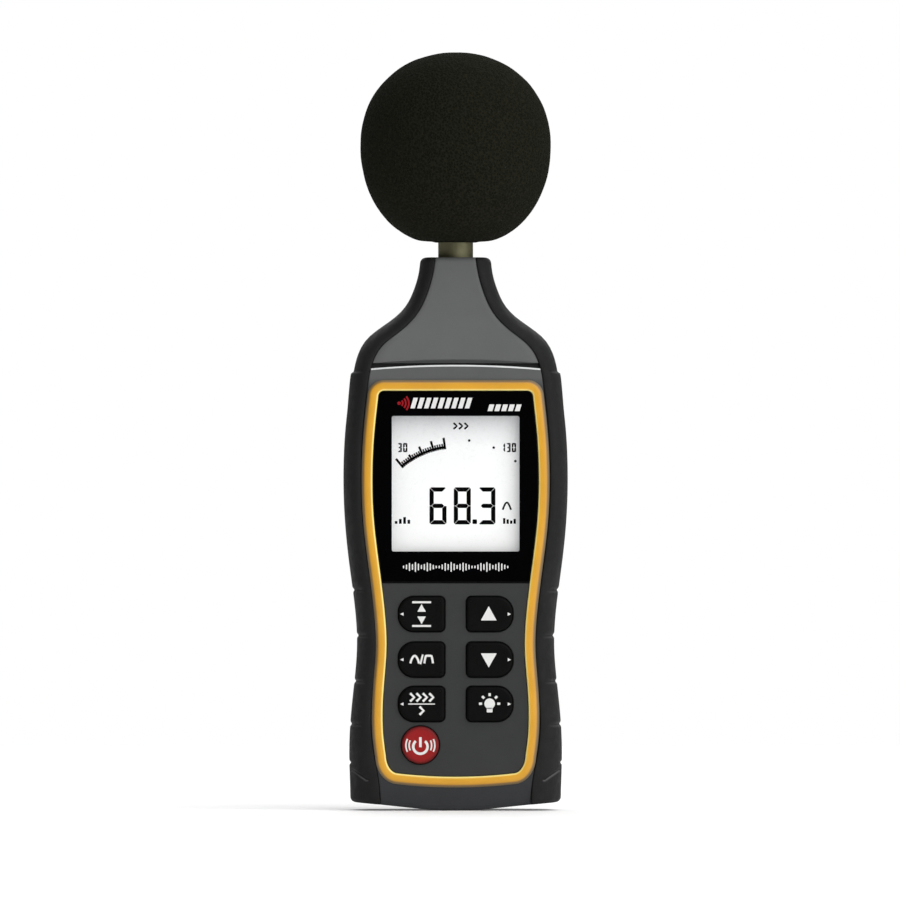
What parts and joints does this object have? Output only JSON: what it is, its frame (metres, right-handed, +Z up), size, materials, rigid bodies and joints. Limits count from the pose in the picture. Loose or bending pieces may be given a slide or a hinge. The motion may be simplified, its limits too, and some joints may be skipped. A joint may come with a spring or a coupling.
{
  "type": "sound level meter",
  "caption": "Handheld sound level meter: ball foam windscreen on a metal microphone tube, waisted case with rubber grips, trim ring, LCD window and keypad.",
  "frame": {"origin": "centre of the flat land under the case, on the microphone axis", "axes": "+Z up towards the microphone, +Y out of the back, so the display faces -Y; +X to the right of a person who reads the display"},
  "size_m": [0.074, 0.0628, 0.25],
  "materials": {
    "case_grey": "satin",
    "neck_grey": "satin",
    "grip_rubber": "matte",
    "amber_trim": "satin",
    "display_lens": "gloss",
    "key_rubber": "matte",
    "key_red": "satin",
    "foam": "matte",
    "lcd_glass": "gloss",
    "white_plastic": "satin",
    "black_plastic": "satin",
    "board_green": "satin",
    "microphone_metal": "satin",
    "steel": "satin",
    "brass": "satin",
    "cell_wrap": "gloss"
  },
  "bodies": {
    "case": {"backlight_panel": "white_plastic", "battery_1": "cell_wrap", "battery_2": "cell_wrap", "battery_3": "cell_wrap", "battery_contact_negative": "steel", "battery_contact_positive": "steel", "battery_link_lower": "steel", "battery_link_upper": "steel", "battery_spring_1": "steel", "battery_spring_2": "steel", "battery_spring_3": "steel", "board_screw_1": "steel", "board_screw_2": "steel", "board_screw_3": "steel", "board_screw_4": "steel", "case_screw_1": "steel", "case_screw_2": "steel", "case_screw_3": "steel", "case_screw_4": "steel", "display_lens": "display_lens", "front_housing": "case_grey", "front_left_grip": "grip_rubber", "front_right_grip": "grip_rubber", "keypad_mat": "key_rubber", "keypad_panel": "case_grey", "lcd_connector_strip": "grip_rubber", "lcd_frame": "black_plastic", "lcd_glass": "lcd_glass", "main_board": "board_green", "microphone_capsule": "steel", "microphone_clamp": "black_plastic", "microphone_grid": "steel", "microphone_seal": "grip_rubber", "microphone_socket": "white_plastic", "microphone_tube": "microphone_metal", "neck_cover": "neck_grey", "preamp_board": "board_green", "processor_chip": "black_plastic", "rear_housing": "case_grey", "rear_left_grip": "grip_rubber", "rear_right_grip": "grip_rubber", "switch_down": "black_plastic", "switch_light": "black_plastic", "switch_max_min": "black_plastic", "switch_power": "black_plastic", "switch_response": "black_plastic", "switch_up": "black_plastic", "switch_weighting": "black_plastic", "trim_ring": "amber_trim", "tripod_insert": "brass"},
    "key_max_min": {"key_max_min": "key_rubber"},
    "key_weighting": {"key_weighting": "key_rubber"},
    "key_response": {"key_response": "key_rubber"},
    "key_up": {"key_up": "key_rubber"},
    "key_down": {"key_down": "key_rubber"},
    "key_light": {"key_light": "key_rubber"},
    "key_power": {"key_power": "key_red"},
    "windscreen": {"windscreen": "foam"},
    "battery_cover": {"battery_cover": "case_grey"}
  },
  "joints": [
    {"name": "press_max_min", "type": "slide", "parent": "case", "child": "key_max_min", "axis": [0, 1, 0], "range_m": [0, 0.001], "stiffness_N_per_m": 1500, "springref_m": -0.0003},
    {"name": "press_weighting", "type": "slide", "parent": "case", "child": "key_weighting", "axis": [0, 1, 0], "range_m": [0, 0.001], "stiffness_N_per_m": 1500, "springref_m": -0.0003},
    {"name": "press_response", "type": "slide", "parent": "case", "child": "key_response", "axis": [0, 1, 0], "range_m": [0, 0.001], "stiffness_N_per_m": 1500, "springref_m": -0.0003},
    {"name": "press_up", "type": "slide", "parent": "case", "child": "key_up", "axis": [0, 1, 0], "range_m": [0, 0.001], "stiffness_N_per_m": 1500, "springref_m": -0.0003},
    {"name": "press_down", "type": "slide", "parent": "case", "child": "key_down", "axis": [0, 1, 0], "range_m": [0, 0.001], "stiffness_N_per_m": 1500, "springref_m": -0.0003},
    {"name": "press_light", "type": "slide", "parent": "case", "child": "key_light", "axis": [0, 1, 0], "range_m": [0, 0.001], "stiffness_N_per_m": 1500, "springref_m": -0.0003},
    {"name": "press_power", "type": "slide", "parent": "case", "child": "key_power", "axis": [0, 1, 0], "range_m": [0, 0.001], "stiffness_N_per_m": 1500, "springref_m": -0.0003},
    {"name": "windscreen_pull", "type": "slide", "parent": "case", "child": "windscreen", "axis": [0, 0, 1], "range_m": [0, 0.045]},
    {"name": "battery_cover_swing", "type": "hinge", "parent": "case", "child": "battery_cover", "pos_m": [0, 0.017, 0.0133], "axis": [-1, 0, 0], "range_deg": [0, 60]}
  ]
}
